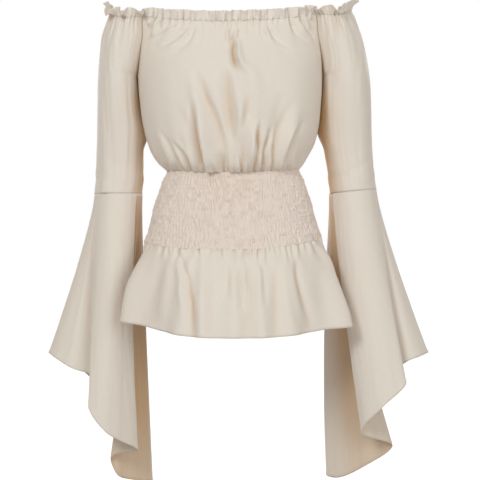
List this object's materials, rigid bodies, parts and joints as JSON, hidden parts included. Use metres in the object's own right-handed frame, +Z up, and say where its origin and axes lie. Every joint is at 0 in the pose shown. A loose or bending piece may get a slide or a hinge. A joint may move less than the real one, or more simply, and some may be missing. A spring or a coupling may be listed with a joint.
{
  "type": "off-shoulder top",
  "caption": "Off-shoulder top with a frilled elastic neckline, smocked waist, peplum and long sleeves ending in draped bell flounces, in its worn hollow form.",
  "frame": {"origin": "centre of the neckline elastic's loop, midway between the shoulders", "axes": "+Z up, the garment faces -Y, +X towards the wearer's left sleeve"},
  "size_m": [0.7015, 0.3165, 0.8941],
  "materials": {
    "satin": "soft satin sheen",
    "smocked satin": "satin crinkled by elastic thread"
  },
  "bodies": {
    "root": {"bodice_front": "satin", "bodice_back": "satin", "waist_front": "smocked satin", "waist_back": "smocked satin", "peplum_front": "satin", "peplum_back": "satin", "sleeve_left": "satin", "sleeve_right": "satin", "flounce_left": "satin", "flounce_right": "satin", "frill_front": "satin", "frill_back": "satin", "frill_left": "satin", "frill_right": "satin"}
  },
  "joints": []
}
